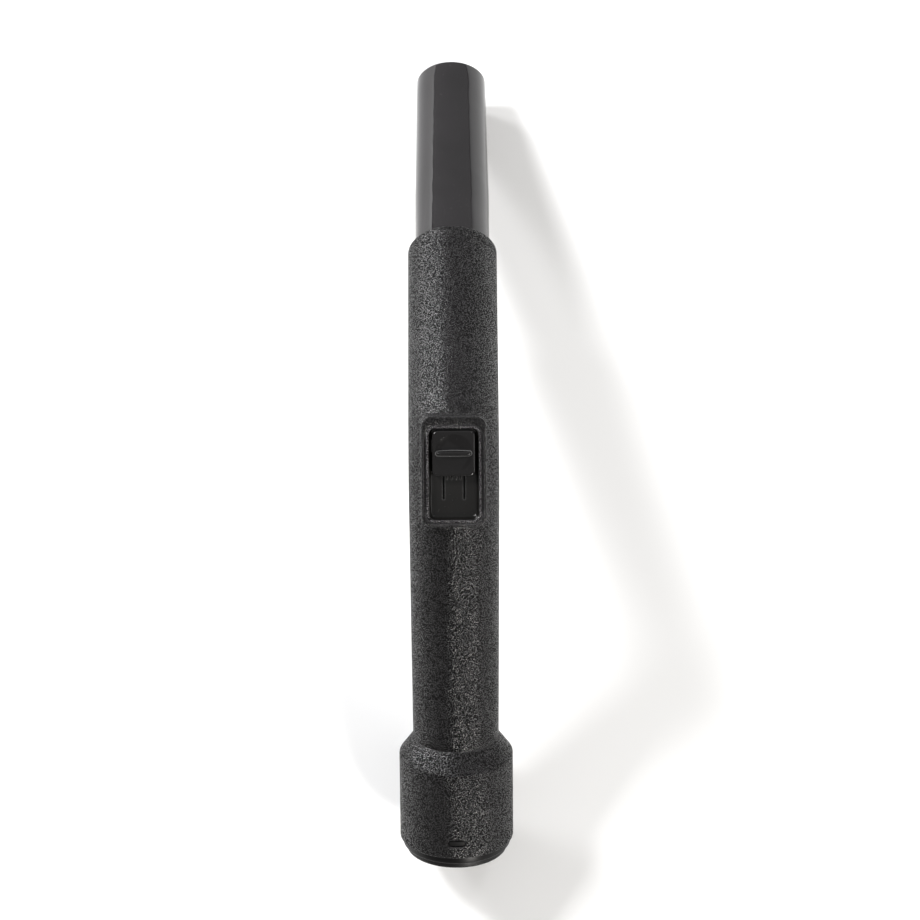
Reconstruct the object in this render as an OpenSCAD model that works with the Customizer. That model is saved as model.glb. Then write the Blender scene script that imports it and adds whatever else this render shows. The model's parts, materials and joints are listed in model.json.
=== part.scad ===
// Bent wand handle of a vacuum cleaner hose, with an air regulator slide and a swivelling hose cuff.
// The handle is an arch in the YZ plane: the wand spigot leaves towards +Y and down, the hose cuff
// towards -Y and down, and the regulator sits on top of the bend, facing +Z.
// The origin is the centre of the grip's shoulder, where the wand stops on the spigot.

/* [Bend] */
// Angle from the top of the bend to each straight, in degrees
bend_half_angle = 30.3; // [26:0.1:34]
// Radius of the air path's centreline in the bend
bend_r = 28; // [26:0.5:34]

/* [Grip] */
// Length of the straight from the bend to the shoulder
upper_len = 91.8; // [80:0.1:110]
// Length of the straight from the bend to the collar's cone
lower_len = 114.7; // [100:0.1:130]
// Outer radius of the grip at the shoulder
grip_r_top = 19.1; // [18.9:0.05:19.6]
// Outer radius of the grip in the bend
grip_r_bend = 19.15; // [18.9:0.05:19.6]
// Outer radius of the grip where the collar starts
grip_r_low = 18.35; // [18.2:0.05:19]
// Radius of the rounded edge of the shoulder
shoulder_round = 0.8; // [0.4:0.1:1.2]

/* [Wand spigot] */
// Radius of the spigot's parallel seat
spigot_r = 16; // [15.9:0.05:16.05]
// Radius of the spigot at its tip
spigot_tip_r = 14.95; // [14.8:0.05:15.5]
// Length of the spigot outside the grip
spigot_len = 95.3; // [80:0.1:110]
// Length of the parallel seat next to the shoulder
spigot_seat_len = 29.5; // [20:0.5:60]
// Radius of the air path
air_r = 13.2; // [12.5:0.1:13.4]

/* [Hose collar] */
// Outer radius of the collar
collar_r = 24.35; // [24.2:0.05:25]
// Height of the collar's cone
cone_h = 8.4; // [7:0.1:10]
// Length of the collar's cylinder
collar_len = 39.4; // [38:0.1:42]

/* [Hose cuff] */
// Radius of the seat that holds the hose end
hose_seat_r = 18.9; // [18.7:0.05:19]
// Outer radius of the cuff's flange
flange_r = 21.5; // [21.2:0.05:21.8]
// How far the flange's end stands below the collar's edge
flange_reach = 6.1; // [5.5:0.1:8]
// Number of thread ribs that grip the hose
rib_count = 6; // [3:1:6]

/* [Regulator] */
// Angle from the top of the bend to the regulator, towards the hose
regulator_angle = 10.5; // [0:0.1:12]
// Width of the raised frame
frame_w = 27.1; // [26:0.1:28]
// Length of the raised frame
frame_len = 46.1; // [45:0.1:48]
// Height of the frame's rim above the air path's centreline
frame_h = 22; // [21.5:0.1:23]
// Travel of the slide from closed to open
slide_travel = 16.5; // [10:0.5:16.5]

/* [Hidden] */
$fn = 96;

black_grain = [0.13, 0.13, 0.14];
black_gloss = [0.08, 0.08, 0.09];
dark_rubber = [0.2, 0.2, 0.2];
white_pom = [0.85, 0.84, 0.8];
spring_steel = [0.7, 0.7, 0.72];

cut = 1;
shell_inner_r = 16.3;
seam_gap = 0.15;
// The seam follows the bend in flat steps over this share of it
seam_steps = 5;
seam_share = 0.93;
end_wall = 2.4;

// A straight reaches this far into the bend and starts this much slimmer than it
bend_overlap = 1.5;
bend_sink = 0.06;
bend_stand = 0.015;

// The shoulder's centre, measured from the top of the bend's centreline
shoulder_y = bend_r * sin(bend_half_angle) + upper_len * cos(bend_half_angle);
shoulder_z = -bend_r * (1 - cos(bend_half_angle)) - upper_len * sin(bend_half_angle);

// Duct joints
duct_r = 15.2;
duct_plug_r = 14.6;
duct_socket_r = 14.7;
duct_socket_depth = 8;
duct_plug_len = 9;
seal_h = 1.5;
spigot_root = 20;
spigot_root_r = 15.6;
collar_neck = 16;
collar_neck_r = 16.2;
lug_r = 17;
lug_h = 3;
lug_below_shoulder = 9;

// Collar, swivel ring and cuff, measured from the collar's edge
edge = lower_len + cone_h + collar_len;
collar_inner_r = 22.6;
collar_room = 36;
air_neck_r = 14.8;
air_neck_len = 6;
// Ring-shaped hollow behind the room, which keeps the cone's wall even
core_r = 17.75;
core_floor = 3;
ring_r = 22.5;
ring_inner_r = 20.75;
ring_len = 16;
ring_lip_r = 23.05;
ring_lip_h = 3.2;
window_len = 7.9;
window_h = 3.15;
window_up = 7;
nose_gap = 0.4;
nose_stand = 0.55;
run_gap = 0.3;
cuff_r = 20.45;
washer_h = 1;
washer_inner_r = 19.2;
seal_drop = 1.6;
cuff_top = collar_room - washer_h - run_gap;
clip_h = 1.4;
clip_r = 22.3;
clip_groove_r = 19.9;
rib_crest_r = 17.9;
rib_w = 1.2;
rib_pitch = 4;
hose_land = 11;
flange_lead = 0.4;
flange_bevel = 0.8;

// Regulator, measured from the frame's centre (along Y) and from the air path's centreline (along Z)
frame_corner_r = 4;
frame_edge = 1;
opening_w = 22.5;
opening_len = 40;
opening_y = -1.25;
opening_corner_r = 3.4;
ledge_z = 17.5;
tray_gap = 0.1;
tray_rim_z = 21.6;
floor_top_z = 19.1;
floor_bottom_z = 17.9;
floor_w = 18.8;
floor_len = 36.5;
floor_y = -0.65;
floor_corner_r = 1.8;
skirt_w = 17.5;
skirt_len = 39;
skirt_z = 16.2;
well_z = 8;
chamber_w = 14.5;
chamber_len = 36;
port_w = 6;
port_len = 14;
port_y = 8;
pad_z = 15.6;
knob_w = 18.2;
knob_len = 19.4;
knob_y = 7.6;
knob_corner_r = 2.1;
knob_bottom_z = floor_top_z + run_gap;
knob_top_z = 22.8;
dish_r = 8.25;
dish_depth = 1.2;
rib_len = 15.8;
rib_h = 0.9;
leg_w = 1;
leg_len = 5;
rail_x = 4.4;
rail_w = leg_w + 2 * run_gap;
rail_len = slide_travel + leg_len + 3 * run_gap;
rail_y = knob_y - slide_travel / 2;
shutter_z = 16.5;
shutter_h = 1.1;
shutter_w = 13.9;
shutter_len = 18;
spring_t = 0.3;
spring_w = 4;
spring_span = 12;
spring_rise = 1;

// ---- Places along the bent centreline ----

// Puts the top of the bend at its place in the part's frame
module from_bend() {
    translate([0, -shoulder_y, -shoulder_z]) children();
}

// Local +Z runs up the upper straight from the bend's end, local -Y points out of the bend
module on_upper() {
    from_bend()
        translate([0, bend_r * sin(bend_half_angle), -bend_r * (1 - cos(bend_half_angle))])
            rotate([-90 - bend_half_angle, 0, 0]) children();
}

// Local +Z runs down the lower straight from the bend's end, local +Y points out of the bend
module on_lower() {
    from_bend()
        translate([0, -bend_r * sin(bend_half_angle), -bend_r * (1 - cos(bend_half_angle))])
            rotate([90 + bend_half_angle, 0, 0]) children();
}

// Local +Z points out of the bend through the regulator, local +Y towards the spigot
module on_regulator() {
    from_bend()
        translate([0, -bend_r * sin(regulator_angle), -bend_r * (1 - cos(regulator_angle))])
            rotate([regulator_angle, 0, 0]) children();
}

// A cylinder or cone on a straight, whose slimmer start sinks into the bend
module straight(r, end_r, len) {
    rotate_extrude()
        polygon([
            [0, -bend_overlap],
            [r - bend_sink, -bend_overlap],
            [r + bend_stand, 0],
            [end_r, len],
            [0, len]
        ]);
}

module bend(r) {
    from_bend()
        translate([0, 0, -bend_r])
            rotate([0, -90, 0])
                rotate([0, 0, -bend_half_angle])
                    rotate_extrude(angle = 2 * bend_half_angle)
                        translate([bend_r, 0]) circle(r);
}

// ---- Shared shapes ----

module ring(inner_r, outer_r, h) {
    difference() {
        cylinder(r = outer_r, h = h);
        translate([0, 0, -cut]) cylinder(r = inner_r, h = h + 2 * cut);
    }
}

module rounded_rectangle(w, len, r) {
    square([w - 2 * r, len], center = true);
    square([w, len - 2 * r], center = true);
    for (x = [-1, 1], y = [-1, 1])
        translate([x * (w / 2 - r), y * (len / 2 - r)]) circle(r);
}

module rounded_block(w, len, r, bottom, top) {
    translate([0, 0, bottom])
        linear_extrude(top - bottom) rounded_rectangle(w, len, r);
}

module obround(len, w) {
    square([len - w, w], center = true);
    for (x = [-1, 1]) translate([x * (len - w) / 2, 0]) circle(w / 2);
}

// Everything behind the bent centreline, moved outwards by shift
module behind_centreline(shift) {
    half = bend_half_angle;
    out_r = bend_r + shift;
    reach = 250;
    function on_bend(a) = [out_r * sin(a), out_r * cos(a) - bend_r];
    upper_end = on_bend(half);
    lower_end = on_bend(-half);
    from_bend()
        rotate([90, 0, 90])
            linear_extrude(80, center = true)
                polygon([
                    [0, -2 * reach],
                    lower_end + reach * [-cos(half), -sin(half)],
                    for (i = [-seam_steps:seam_steps]) on_bend(i * seam_share * half / seam_steps),
                    upper_end + reach * [cos(half), -sin(half)]
                ]);
}

// ---- Grip ----

module grip_outside() {
    on_upper() {
        straight(grip_r_bend, grip_r_top, upper_len - shoulder_round);
        cylinder(r = grip_r_top - shoulder_round, h = upper_len);
        translate([0, 0, upper_len - shoulder_round])
            rotate_extrude()
                translate([grip_r_top - shoulder_round, 0]) circle(shoulder_round, $fn = 48);
    }
    bend(grip_r_bend);
    on_lower() straight(grip_r_bend, grip_r_low, lower_len);
}

module grip_inside() {
    on_upper() {
        straight(shell_inner_r, shell_inner_r, upper_len - end_wall);
        cylinder(r = spigot_r - 0.05, h = upper_len + cut);
        translate([0, 0, upper_len - lug_below_shoulder - 0.2])
            cylinder(r = lug_r + tray_gap, h = lug_h + 0.4);
    }
    bend(shell_inner_r);
    on_lower() straight(shell_inner_r, shell_inner_r, lower_len + cut);
}

module regulator_frame() {
    corner_x = frame_w / 2 - frame_corner_r;
    corner_y = frame_len / 2 - frame_corner_r;
    on_regulator()
        hull()
            for (x = [-1, 1], y = [-1, 1])
                translate([x * corner_x, y * corner_y, 0]) {
                    cylinder(r = frame_corner_r, h = frame_h - frame_edge, $fn = 32);
                    cylinder(r = frame_corner_r - frame_edge, h = frame_h, $fn = 32);
                }
}

module regulator_opening() {
    on_regulator() translate([0, opening_y, 0]) {
        rounded_block(opening_w, opening_len, opening_corner_r, ledge_z, frame_h + cut);
        rounded_block(skirt_w + 0.2, skirt_len + 0.2, 1.2, well_z, ledge_z + cut);
    }
}

module grip_front_shell() {
    color(black_grain)
        difference() {
            union() {
                grip_outside();
                regulator_frame();
            }
            grip_inside();
            regulator_opening();
            behind_centreline(seam_gap);
        }
}

module grip_rear_shell() {
    color(black_grain)
        intersection() {
            difference() {
                grip_outside();
                grip_inside();
            }
            behind_centreline(0);
        }
}

// ---- Air path ----

module spigot_tube() {
    tip = upper_len + spigot_len;
    seat_end = upper_len + spigot_seat_len;
    root = upper_len - spigot_root;
    color(black_gloss) on_upper()
        difference() {
            union() {
                translate([0, 0, root]) cylinder(r = spigot_root_r, h = upper_len - root);
                translate([0, 0, upper_len]) cylinder(r = spigot_r, h = seat_end - upper_len);
                translate([0, 0, seat_end])
                    cylinder(r1 = spigot_r, r2 = spigot_tip_r, h = tip - seat_end);
                translate([0, 0, upper_len - lug_below_shoulder]) cylinder(r = lug_r, h = lug_h);
            }
            translate([0, 0, root - cut]) cylinder(r = air_r, h = tip - root + 2 * cut);
            translate([0, 0, root - cut]) cylinder(r = duct_socket_r, h = duct_socket_depth + cut);
        }
}

module duct_straight(len) {
    straight(duct_r, duct_r, len);
    cylinder(r = duct_plug_r, h = len + duct_plug_len);
}

module duct_elbow() {
    upper_end = upper_len - spigot_root - seal_h;
    lower_end = lower_len - collar_neck - seal_h;
    color(black_grain)
        difference() {
            union() {
                on_upper() duct_straight(upper_end);
                bend(duct_r);
                on_lower() duct_straight(lower_end);
                on_regulator() translate([0, opening_y, 0])
                    rounded_block(skirt_w, skirt_len, 1, 0, pad_z);
            }
            on_upper() straight(air_r, air_r, upper_len);
            bend(air_r);
            on_lower() straight(air_r, air_r, lower_len);
            on_regulator() translate([0, port_y, 0])
                linear_extrude(pad_z + cut) rotate(90) obround(port_len, port_w);
        }
}

module duct_seal() {
    color(dark_rubber) ring(duct_plug_r + 0.05, duct_r + 0.4, seal_h);
}

module upper_duct_seal() {
    on_upper() translate([0, 0, upper_len - spigot_root - seal_h]) duct_seal();
}

module lower_duct_seal() {
    on_lower() translate([0, 0, lower_len - collar_neck - seal_h]) duct_seal();
}

// ---- Hose end ----

module latch_windows() {
    translate([0, 0, edge - window_up])
        rotate([90, 0, 0])
            linear_extrude(2 * collar_r + 4, center = true) obround(window_len, window_h);
}

module hose_collar() {
    room_top = edge - collar_room;
    color(black_grain) on_lower()
        difference() {
            union() {
                translate([0, 0, lower_len - collar_neck])
                    cylinder(r = collar_neck_r, h = collar_neck + cut);
                translate([0, 0, lower_len])
                    cylinder(r1 = grip_r_low, r2 = collar_r, h = cone_h);
                translate([0, 0, lower_len + cone_h]) cylinder(r = collar_r, h = collar_len);
            }
            translate([0, 0, lower_len - collar_neck - cut])
                cylinder(r = air_r, h = collar_neck + cone_h + collar_len);
            translate([0, 0, lower_len - collar_neck - cut])
                cylinder(r = duct_socket_r, h = duct_socket_depth + cut);
            translate([0, 0, room_top])
                ring(air_neck_r, collar_inner_r, air_neck_len);
            translate([0, 0, room_top + air_neck_len])
                cylinder(r = collar_inner_r, h = collar_room);
            translate([0, 0, lower_len + core_floor])
                ring(air_neck_r, core_r, room_top - lower_len - core_floor + cut);
            intersection() {
                latch_windows();
                translate([0, 0, room_top + air_neck_len]) cylinder(r = collar_r + 2, h = collar_room);
            }
        }
}

module swivel_ring() {
    nose_reach = ring_lip_r + nose_stand;
    color(black_gloss) on_lower()
        difference() {
            union() {
                translate([0, 0, edge - ring_len]) cylinder(r = ring_r, h = ring_len);
                translate([0, 0, edge]) cylinder(r = ring_lip_r, h = ring_lip_h);
                translate([0, 0, edge - window_up])
                    rotate([90, 0, 0])
                        linear_extrude(2 * nose_reach, center = true)
                            obround(window_len - 2 * nose_gap, window_h - 2 * nose_gap);
            }
            translate([0, 0, edge - ring_len - cut])
                cylinder(r = ring_inner_r, h = ring_len + ring_lip_h + 2 * cut);
        }
}

module swivel_washer() {
    color(white_pom) on_lower()
        translate([0, 0, edge - collar_room]) ring(washer_inner_r, clip_r, washer_h);
}

module swivel_seal() {
    color(dark_rubber) on_lower()
        translate([0, 0, edge - collar_room + seal_drop])
            rotate_extrude()
                polygon([
                    [air_neck_r + 0.05, 0],
                    [air_neck_r + 0.05, 3],
                    [16.2, 3],
                    [16.2, 1.2],
                    [18, 2.6],
                    [18.5, 2.1],
                    [16.6, 0]
                ]);
}

module hose_cuff() {
    top = edge - cuff_top;
    flange_top = edge + ring_lip_h + run_gap;
    end = edge + flange_reach;
    clip_z = edge - ring_len - 2 * run_gap - clip_h;
    color(black_gloss) on_lower()
        difference() {
            union() {
                translate([0, 0, top]) cylinder(r = cuff_r, h = end - top);
                translate([0, 0, flange_top])
                    cylinder(r1 = flange_r - flange_lead, r2 = flange_r, h = flange_lead);
                translate([0, 0, flange_top + flange_lead])
                    cylinder(r = flange_r, h = end - flange_top - flange_lead - flange_bevel);
                translate([0, 0, end - flange_bevel])
                    cylinder(r1 = flange_r, r2 = flange_r - flange_bevel, h = flange_bevel);
            }
            difference() {
                translate([0, 0, top - cut]) cylinder(r = hose_seat_r, h = end - top + 2 * cut);
                for (i = [0:rib_count - 1])
                    translate([0, 0, end - hose_land - rib_w - i * rib_pitch])
                        ring(rib_crest_r, hose_seat_r + cut, rib_w);
            }
            translate([0, 0, clip_z]) ring(clip_groove_r, cuff_r + cut, clip_h + run_gap);
        }
}

module cuff_circlip() {
    clip_z = edge - ring_len - run_gap - clip_h - 0.15;
    mouth = 24;
    color(spring_steel) on_lower()
        translate([0, 0, clip_z])
            rotate([0, 0, 90 + mouth / 2])
                rotate_extrude(angle = 360 - mouth)
                    translate([clip_groove_r + 0.05, 0]) square([clip_r - clip_groove_r - 0.05, clip_h]);
}

// ---- Air regulator ----

module tray_recess() {
    corner = floor_corner_r;
    rim_w = opening_w - 0.8;
    rim_len = opening_len - 0.8;
    hull() {
        for (x = [-1, 1], y = [-1, 1]) {
            translate([
                x * (floor_w / 2 - corner),
                floor_y + y * (floor_len / 2 - corner),
                floor_top_z
            ])
                cylinder(r = corner, h = 0.01, $fn = 32);
            translate([
                x * (rim_w / 2 - opening_corner_r + 0.4),
                opening_y + y * (rim_len / 2 - opening_corner_r + 0.4),
                tray_rim_z
            ])
                cylinder(r = opening_corner_r - 0.4, h = cut, $fn = 32);
        }
    }
}

module regulator_tray() {
    color(black_gloss) on_regulator()
        difference() {
            translate([0, opening_y, 0]) {
                rounded_block(opening_w - 2 * tray_gap, opening_len - 2 * tray_gap,
                              opening_corner_r - tray_gap, ledge_z, tray_rim_z);
                rounded_block(skirt_w, skirt_len, 1, skirt_z, ledge_z + 0.1);
            }
            tray_recess();
            translate([0, floor_y, 0])
                rounded_block(chamber_w, chamber_len, 0.8, skirt_z - cut, floor_bottom_z);
            for (x = [-1, 1])
                translate([x * rail_x, rail_y, 0])
                    rounded_block(rail_w, rail_len, 0.3, floor_bottom_z - cut, floor_top_z + cut);
            translate([0, port_y, floor_bottom_z - cut])
                linear_extrude(floor_top_z - floor_bottom_z + 2 * cut)
                    rotate(90) obround(port_len, port_w);
        }
}

module regulator_gasket() {
    color(dark_rubber) on_regulator()
        difference() {
            translate([0, opening_y, 0])
                rounded_block(skirt_w - 0.2, skirt_len - 0.2, 1, pad_z, skirt_z);
            translate([0, floor_y, 0])
                rounded_block(chamber_w + 0.4, chamber_len + 0.4, 1, pad_z - cut, skirt_z + cut);
        }
}

module slide_knob() {
    dish_ball_r = (dish_r * dish_r + dish_depth * dish_depth) / (2 * dish_depth);
    color(black_gloss) on_regulator() translate([0, knob_y, 0]) {
        difference() {
            rounded_block(knob_w, knob_len, knob_corner_r, knob_bottom_z, knob_top_z);
            translate([0, 0, knob_top_z - dish_depth + dish_ball_r])
                sphere(dish_ball_r, $fn = 180);
            rounded_block(knob_w - 3, knob_len - 3, 1, knob_bottom_z - cut, knob_bottom_z + 1.5);
        }
        translate([0, 0, knob_top_z - dish_depth - 0.2])
            linear_extrude(dish_depth + 0.2 + rib_h) obround(rib_len, 1.2);
        for (x = [-1, 1])
            translate([x * rail_x - leg_w / 2, -leg_len / 2, shutter_z])
                cube([leg_w, leg_len, knob_bottom_z + 1.6 - shutter_z]);
    }
}

module slide_shutter() {
    color(black_grain) on_regulator() translate([0, knob_y, 0])
        difference() {
            rounded_block(shutter_w, shutter_len, 0.6, shutter_z, shutter_z + shutter_h);
            for (x = [-1, 1])
                translate([x * rail_x - leg_w / 2 - 0.05, -leg_len / 2 - 0.05, shutter_z - cut])
                    cube([leg_w + 0.1, leg_len + 0.1, shutter_h + 2 * cut]);
        }
}

module detent_spring() {
    half = spring_span / 2;
    leaf_r = (half * half + spring_rise * spring_rise) / (2 * spring_rise);
    low = knob_bottom_z + 0.05;
    color(spring_steel) on_regulator() translate([0, knob_y, low + leaf_r])
        rotate([90, 0, 90])
            linear_extrude(spring_w, center = true)
                intersection() {
                    difference() {
                        circle(leaf_r, $fn = 180);
                        circle(leaf_r - spring_t, $fn = 180);
                    }
                    translate([-half, -leaf_r - cut]) square([spring_span, spring_rise + cut]);
                }
}

grip_front_shell();
grip_rear_shell();
spigot_tube();
duct_elbow();
upper_duct_seal();
lower_duct_seal();
hose_collar();
swivel_ring();
swivel_washer();
swivel_seal();
regulator_tray();
regulator_gasket();
slide_knob();
slide_shutter();
detent_spring();
hose_cuff();
cuff_circlip();
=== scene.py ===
import json
import math

import bmesh
import bpy
import numpy as np
from mathutils import Matrix, Vector, geometry


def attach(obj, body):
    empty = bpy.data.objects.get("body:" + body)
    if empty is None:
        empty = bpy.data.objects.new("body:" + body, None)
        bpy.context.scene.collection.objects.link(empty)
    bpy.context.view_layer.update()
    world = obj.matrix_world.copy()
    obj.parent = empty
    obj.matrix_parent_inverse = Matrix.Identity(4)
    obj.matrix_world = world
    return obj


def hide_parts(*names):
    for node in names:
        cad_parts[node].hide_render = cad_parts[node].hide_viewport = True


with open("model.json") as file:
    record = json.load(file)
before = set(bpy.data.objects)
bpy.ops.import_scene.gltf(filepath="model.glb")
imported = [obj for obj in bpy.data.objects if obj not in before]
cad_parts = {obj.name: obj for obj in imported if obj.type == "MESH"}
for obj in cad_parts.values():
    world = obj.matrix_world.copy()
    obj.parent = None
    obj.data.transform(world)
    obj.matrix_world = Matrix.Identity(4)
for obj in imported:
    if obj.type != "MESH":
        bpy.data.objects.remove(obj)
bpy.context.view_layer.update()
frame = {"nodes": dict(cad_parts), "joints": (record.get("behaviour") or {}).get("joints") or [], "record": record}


# ---------------------------------------------------------------- places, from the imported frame

TO_METRES = 0.001  # the object's meshes are drawn in millimetres and scaled once, in made_object


def mount(name):
    """Position in millimetres and axis of one of the record's mounts."""
    found = [m for m in frame["record"]["mounts"] if m["name"] == name][0]
    return Vector(found["pos_m"]) / TO_METRES, Vector(found["axis"]).normalized()


def joint(name):
    return [j for j in frame["joints"] if j["name"] == name][0]


BEND_R = 28.0
FLANGE_REACH = 6.1
COLLAR_LEN = 39.4
CONE_H = 8.4

ACROSS = Vector((1, 0, 0))
UP = Vector((0, 0, 1))
shoulder, to_wand = mount("wand_spigot")
tip = mount("spigot_air_bore")[0]
mouth, to_hose = mount("hose_socket")
collar_edge = mouth - to_hose * FLANGE_REACH
half_bend = math.asin(-to_wand.z)
bend_end = BEND_R * math.tan(half_bend)

# The two straight axes cross at the apex, above the top of the bend
apex_run = (mouth - shoulder).dot(UP.cross(ACROSS)) / (2 * math.cos(half_bend))
apex_drop = (mouth - shoulder).z / (2 * math.sin(half_bend))
to_shoulder = abs(apex_run) + apex_drop
to_mouth = abs(apex_run) - apex_drop
apex = shoulder - to_wand * to_shoulder
bend_top = apex - UP * BEND_R * (1 / math.cos(half_bend) - 1)
bend_centre = bend_top - UP * BEND_R

ARC = BEND_R * half_bend
S_SHOULDER = ARC + to_shoulder - bend_end
S_MOUTH = -(ARC + to_mouth - bend_end)
S_EDGE = S_MOUTH + FLANGE_REACH
S_CONE = S_EDGE + COLLAR_LEN + CONE_H
SPIGOT_LEN = (tip - shoulder).length


def placed(origin, y_axis, z_axis):
    """Matrix of a local frame that keeps X across the handle, in millimetres."""
    m = Matrix((ACROSS, y_axis, z_axis)).transposed().to_4x4()
    m.translation = origin
    return m


# Spigot pieces: +Z towards the tip from the shoulder. Hose end: +Z out of the mouth from the collar's edge
AT_SHOULDER = placed(shoulder, to_wand.cross(ACROSS), to_wand)
AT_COLLAR = placed(collar_edge, to_hose.cross(ACROSS), to_hose)

# Regulator: +Y towards the wand along the slide, +Z out through the knob, from the air path's centreline
slide_back = -Vector(joint("regulator_travel")["axis"]).normalized()
reg_up = ACROSS.cross(slide_back)
AT_REGULATOR = placed(bend_centre + reg_up * BEND_R, slide_back, reg_up)


def centreline(s):
    """Point and outward direction at a length s from the top of the bend, positive towards the wand."""
    turn = max(-half_bend, min(half_bend, s / BEND_R))
    out = Vector((0, math.sin(turn), math.cos(turn)))
    along = Vector((0, math.cos(turn), -math.sin(turn)))
    return bend_centre + out * BEND_R + along * (s - turn * BEND_R), out


def on_tube(s, angle, r):
    """Point at a radius r and an angle from the outward side, round the centreline."""
    point, out = centreline(s)
    return point + r * (math.sin(angle) * ACROSS + math.cos(angle) * out)


def tube_place(point):
    """Length along the centreline, angle and radius of a point near the bent tube."""
    y = point.y - bend_centre.y
    z = point.z - bend_centre.z
    turn = max(-half_bend, min(half_bend, math.atan2(y, z)))
    out = Vector((0, math.sin(turn), math.cos(turn)))
    along = Vector((0, math.cos(turn), -math.sin(turn)))
    rest = Vector((0, y, z)) - out * BEND_R
    side = rest.dot(out)
    return turn * BEND_R + rest.dot(along), math.atan2(point.x, side), math.hypot(point.x, side)


# ---------------------------------------------------------------- mesh tools

SHARP_ANGLE = math.radians(38)
MERGE_DISTANCE = 2e-6


class Skin:
    """Points and faces of one mesh, in millimetres. add, loft and fill return the points' indices."""

    def __init__(self):
        self.points = []
        self.faces = []

    def add(self, points):
        start = len(self.points)
        self.points.extend(Vector(p) for p in points)
        return list(range(start, len(self.points)))

    def band(self, a, b, closed=True):
        """Joins two rings, or two rows, of the same count of points with four-sided faces."""
        for i in range(len(a) if closed else len(a) - 1):
            j = (i + 1) % len(a)
            self.faces.append((a[i], a[j], b[j], b[i]))

    def loft(self, rings):
        """Adds each ring of points and joins it to the one before."""
        made = [self.add(ring) for ring in rings]
        for a, b in zip(made, made[1:]):
            self.band(a, b)
        return made

    def cap(self, *rings):
        """Closes each ring with one face."""
        for ring in rings:
            self.faces.append(tuple(ring))

    def fill(self, loops, loose, place, known):
        """Fills a flat region with triangles and maps it into space. The first loop bounds it and the
        others are holes. known gives the indices of the first points, which are there already."""
        flat = []
        index = []
        for loop in loops:
            index.append(list(range(len(flat), len(flat) + len(loop))))
            flat += loop
        flat += loose
        ids = known + self.add(place(p) for p in flat[len(known):])
        for tri in triangles(flat, index):
            self.faces.append(tuple(ids[i] for i in tri))
        return ids


def inside(points, loop):
    """Which of the points lie inside a closed flat loop."""
    x, y = points[:, 0], points[:, 1]
    hit = np.zeros(len(points), bool)
    for (x0, y0), (x1, y1) in zip(loop, np.roll(loop, -1, axis=0)):
        if y0 != y1:
            hit ^= ((y0 > y) != (y1 > y)) & (x < (x1 - x0) * (y - y0) / (y1 - y0) + x0)
    return hit


def triangles(flat, loops):
    """Triangles over flat points, inside the first loop and outside the others."""
    edges = [(loop[i - 1], loop[i]) for loop in loops for i in range(len(loop))]
    _, _, faces, sources, _, _ = geometry.delaunay_2d_cdt([Vector(p) for p in flat], edges, [], 0, 1e-7)
    tris = np.array([[sources[i][0] for i in face] for face in faces])
    where = np.array(flat, float)
    centres = where[tris].mean(axis=1)
    keep = inside(centres, where[loops[0]])
    for loop in loops[1:]:
        keep &= ~inside(centres, where[loop])
    return [tuple(int(i) for i in t) for t in tris[keep]]


def loose_points(lows, highs, steps, loops, clear):
    """A regular grid of flat points that stays clear of the given loops."""
    xs = np.linspace(lows[0], highs[0], steps[0] + 1)
    ys = np.linspace(lows[1], highs[1], steps[1] + 1)
    grid = np.array([(x, y) for x in xs for y in ys])
    keep = np.ones(len(grid), bool)
    for loop in loops:
        rim = np.array(loop, float)
        for p in rim:
            keep &= np.hypot(grid[:, 0] - p[0], grid[:, 1] - p[1]) > clear
    keep &= inside(grid, np.array(loops[0], float))
    for loop in loops[1:]:
        keep &= ~inside(grid, np.array(loop, float))
    return [(float(x), float(y)) for x, y in grid[keep]]


def rounded_loop(w, length, r, y=0.0, corner=8, across=12, along=20):
    """Closed loop of flat points round a rounded rectangle. The counts of points don't depend on its size."""
    arcs = []
    for cx, cy, start in ((1, 1, 0), (-1, 1, 90), (-1, -1, 180), (1, -1, 270)):
        mid = (cx * (w / 2 - r), cy * (length / 2 - r) + y)
        turns = [math.radians(start + 90 * i / corner) for i in range(corner + 1)]
        arcs.append([(mid[0] + r * math.cos(a), mid[1] + r * math.sin(a)) for a in turns])
    points = []
    for arc, following, steps in zip(arcs, arcs[1:] + arcs[:1], (across, along, across, along)):
        (x0, y0), (x1, y1) = arc[-1], following[0]
        points += arc
        points += [(x0 + (x1 - x0) * i / steps, y0 + (y1 - y0) * i / steps) for i in range(1, steps)]
    return points


def obround_loop(length, w, x, y, upright=False, arc=10, straight=8):
    """Closed loop round a slot with half-round ends. It lies across unless it is upright."""
    reach = (length - w) / 2
    points = []
    for side in (1, -1):
        for i in range(arc + 1):
            a = math.radians(-90 + 180 * i / arc)
            points.append((side * (reach + w / 2 * math.cos(a)), side * w / 2 * math.sin(a)))
        for i in range(1, straight):
            points.append((side * reach * (1 - 2 * i / straight), side * w / 2))
    if upright:
        points = [(-b, a) for a, b in points]
    return [(a + x, b + y) for a, b in points]


def circle_loop(r, count, y):
    turns = [2 * math.pi * i / count for i in range(count)]
    return [(r * math.cos(a), y + r * math.sin(a)) for a in turns]


def lifted(loop, z):
    """A flat loop at one height."""
    return [Vector((p[0], p[1], z)) for p in loop]


def between(a, b, share):
    """Loop part of the way from one loop to another."""
    return [(p[0] + (q[0] - p[0]) * share, p[1] + (q[1] - p[1]) * share) for p, q in zip(a, b)]


def quarter(steps):
    """Angles of a quarter turn, in radians."""
    return [math.radians(90 * i / steps) for i in range(steps + 1)]


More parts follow.
